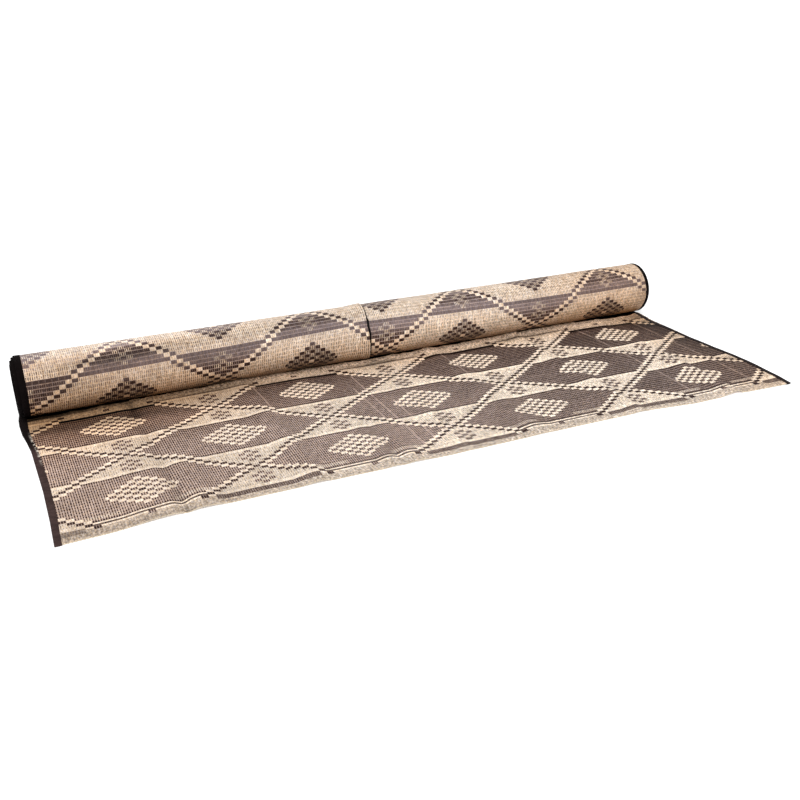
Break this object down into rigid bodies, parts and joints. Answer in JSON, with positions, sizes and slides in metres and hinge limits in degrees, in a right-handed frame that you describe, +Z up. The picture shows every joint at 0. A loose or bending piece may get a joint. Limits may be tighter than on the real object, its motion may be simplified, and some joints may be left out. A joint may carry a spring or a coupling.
{
  "type": "camping mat",
  "caption": "Reversible woven straw camping mat, rolled up along its back with its loose end lying flat in front.",
  "frame": {"origin": "middle of the footprint, on the ground", "axes": "+X along the roll to the right, +Y from the loose end towards the roll, +Z up"},
  "size_m": [1.816, 0.728, 0.1503],
  "materials": {
    "straw_back": "woven plastic straw, cream with dark brown",
    "straw_face": "woven plastic straw, dark brown with cream",
    "binding_tape": "woven polypropylene tape, dark brown, matte"
  },
  "bodies": {
    "root": {"wound_roll": "straw_back", "loose_end": "straw_face", "edge_tape_left": "binding_tape", "edge_tape_right": "binding_tape", "rim_tape_left": "binding_tape", "rim_tape_right": "binding_tape"}
  },
  "joints": []
}
